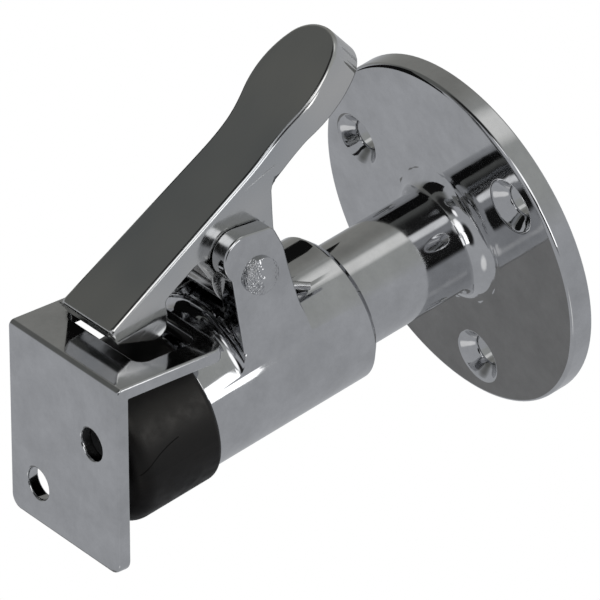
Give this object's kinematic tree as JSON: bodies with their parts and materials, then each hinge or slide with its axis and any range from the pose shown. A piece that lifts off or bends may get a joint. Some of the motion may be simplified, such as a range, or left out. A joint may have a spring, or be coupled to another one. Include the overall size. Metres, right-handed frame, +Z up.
{
  "type": "door stop catch",
  "caption": "Wall-mounted door stop with a rubber buffer and a sprung thumb lever whose tooth latches into the window of an angled keeper plate.",
  "frame": {"origin": "centre of the base plate's back face, on the wall", "axes": "-Y along the barrel, away from the wall; +Z up, the side the lever is on; +X to the right when facing the wall"},
  "size_m": [0.06, 0.0838, 0.0796],
  "materials": {
    "plated_casting": "polished chrome plate",
    "plated_sheet": "polished chrome plate",
    "black_rubber": "matt moulded rubber",
    "plated_pin": "plated, hammered ends",
    "spring_wire": "drawn spring wire"
  },
  "bodies": {
    "stop": {"base": "plated_casting", "barrel": "plated_casting", "buffer": "black_rubber", "hinge_pin": "plated_pin", "spring": "spring_wire", "keeper": "plated_sheet"},
    "lever": {"lever": "plated_casting"}
  },
  "joints": [
    {"name": "lever_hinge", "type": "hinge", "parent": "stop", "child": "lever", "pos_m": [0, -0.04675, 0.02115], "axis": [-1, 0, 0], "range_deg": [0, 22], "stiffness_Nm_per_rad": 0.5, "springref_deg": -20.05, "deforming": ["spring"]}
  ]
}
